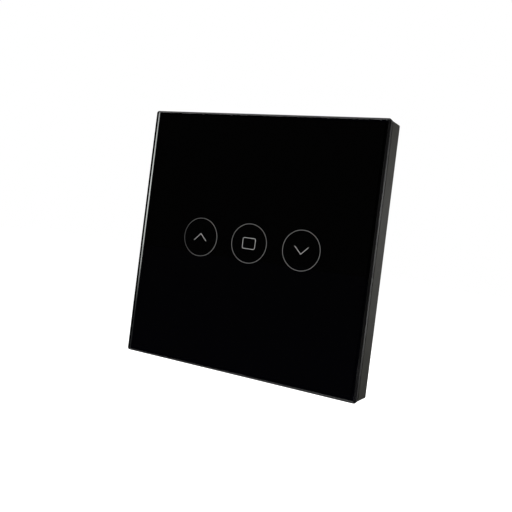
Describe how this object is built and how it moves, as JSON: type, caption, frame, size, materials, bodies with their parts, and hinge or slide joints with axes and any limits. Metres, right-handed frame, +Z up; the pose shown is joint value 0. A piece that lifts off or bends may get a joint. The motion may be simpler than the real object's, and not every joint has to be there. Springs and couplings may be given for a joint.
{
  "type": "shutter switch",
  "caption": "Square glass touch switch for roller shutters with up, stop and down keys, a pull-off panel, a mounting plate and a rear box with screw clamp terminals.",
  "frame": {"origin": "centre of the plate's rear face, which rests on the wall", "axes": "+Z up, +X to the right seen from the front, the glass faces -Y and the rear box reaches into +Y"},
  "size_m": [0.086, 0.0349, 0.086],
  "materials": {
    "black_glass": "polished toughened glass, printed black at the back",
    "tape": "black foam tape",
    "frame_plastic": "fine satin",
    "diffuser": "milky",
    "plate_plastic": "moulded matte",
    "box_plastic": "moulded matte",
    "terminal_plastic": "moulded matte",
    "touch_pcb": "black solder mask",
    "assembly_steel": "zinc plated",
    "led_white": "clear lamp",
    "spring_steel": "plated wire",
    "ic_plastic": "moulded",
    "radio_pcb": "blue solder mask",
    "shield_tin": "tinned",
    "header_plastic": "moulded",
    "pin_brass": "plated",
    "power_pcb": "green solder mask",
    "bar_brass": "plated strip",
    "relay_case": "moulded",
    "transformer_ferrite": "ferrite and tape",
    "capacitor_sleeve": "printed sleeve without lettering",
    "film_case": "moulded",
    "fuse_case": "moulded",
    "choke_ferrite": "ferrite",
    "varistor_coat": "epoxy coat",
    "cage_steel": "zinc plated",
    "screw_steel": "zinc plated"
  },
  "bodies": {
    "base": {"mounting_plate": "plate_plastic", "rear_box": "box_plastic", "terminal_housing": "terminal_plastic", "touch_board": "touch_pcb", "assembly_screws": "assembly_steel", "status_leds": "led_white", "touch_spring_up": "spring_steel", "touch_spring_stop": "spring_steel", "touch_spring_down": "spring_steel", "touch_ic": "ic_plastic", "radio_board": "radio_pcb", "radio_shield": "shield_tin", "header_strip": "header_plastic", "header_socket": "header_plastic", "header_pins": "pin_brass", "power_board": "power_pcb", "bridge_rectifier": "ic_plastic", "contact_bars": "bar_brass", "relay_up": "relay_case", "relay_down": "relay_case", "power_transformer": "transformer_ferrite", "bulk_capacitor": "capacitor_sleeve", "film_capacitor": "film_case", "fuse": "fuse_case", "output_capacitor": "capacitor_sleeve", "choke": "choke_ferrite", "varistor": "varistor_coat"},
    "front_panel": {"glass_panel": "black_glass", "adhesive_tape": "tape", "panel_frame": "frame_plastic", "light_diffuser": "diffuser"},
    "screw_1": {"terminal_screw_1": "screw_steel"},
    "cage_1": {"clamp_cage_1": "cage_steel"},
    "screw_2": {"terminal_screw_2": "screw_steel"},
    "cage_2": {"clamp_cage_2": "cage_steel"},
    "screw_3": {"terminal_screw_3": "screw_steel"},
    "cage_3": {"clamp_cage_3": "cage_steel"},
    "screw_4": {"terminal_screw_4": "screw_steel"},
    "cage_4": {"clamp_cage_4": "cage_steel"}
  },
  "joints": [
    {"name": "panel_pull_off", "type": "slide", "parent": "base", "child": "front_panel", "axis": [0, -1, 0], "range_m": [0, 0.03]},
    {"name": "screw_1_turn", "type": "hinge", "parent": "base", "child": "screw_1", "pos_m": [-0.01143, 0.0235, -0.01848], "axis": [0, -1, 0], "range_deg": [0, 1590]},
    {"name": "cage_1_rise", "type": "slide", "parent": "base", "child": "cage_1", "axis": [0, 1, 0], "range_m": [0, 0.0022]},
    {"name": "screw_2_turn", "type": "hinge", "parent": "base", "child": "screw_2", "pos_m": [-0.00381, 0.0235, -0.01848], "axis": [0, -1, 0], "range_deg": [0, 1590]},
    {"name": "cage_2_rise", "type": "slide", "parent": "base", "child": "cage_2", "axis": [0, 1, 0], "range_m": [0, 0.0022]},
    {"name": "screw_3_turn", "type": "hinge", "parent": "base", "child": "screw_3", "pos_m": [0.00381, 0.0235, -0.01848], "axis": [0, -1, 0], "range_deg": [0, 1590]},
    {"name": "cage_3_rise", "type": "slide", "parent": "base", "child": "cage_3", "axis": [0, 1, 0], "range_m": [0, 0.0022]},
    {"name": "screw_4_turn", "type": "hinge", "parent": "base", "child": "screw_4", "pos_m": [0.01143, 0.0235, -0.01848], "axis": [0, -1, 0], "range_deg": [0, 1590]},
    {"name": "cage_4_rise", "type": "slide", "parent": "base", "child": "cage_4", "axis": [0, 1, 0], "range_m": [0, 0.0022]}
  ],
  "couplings": [
    {"joint": "screw_1_turn", "follows": "cage_1_rise", "rad_per_m": 12566},
    {"joint": "screw_2_turn", "follows": "cage_2_rise", "rad_per_m": 12566},
    {"joint": "screw_3_turn", "follows": "cage_3_rise", "rad_per_m": 12566},
    {"joint": "screw_4_turn", "follows": "cage_4_rise", "rad_per_m": 12566}
  ]
}
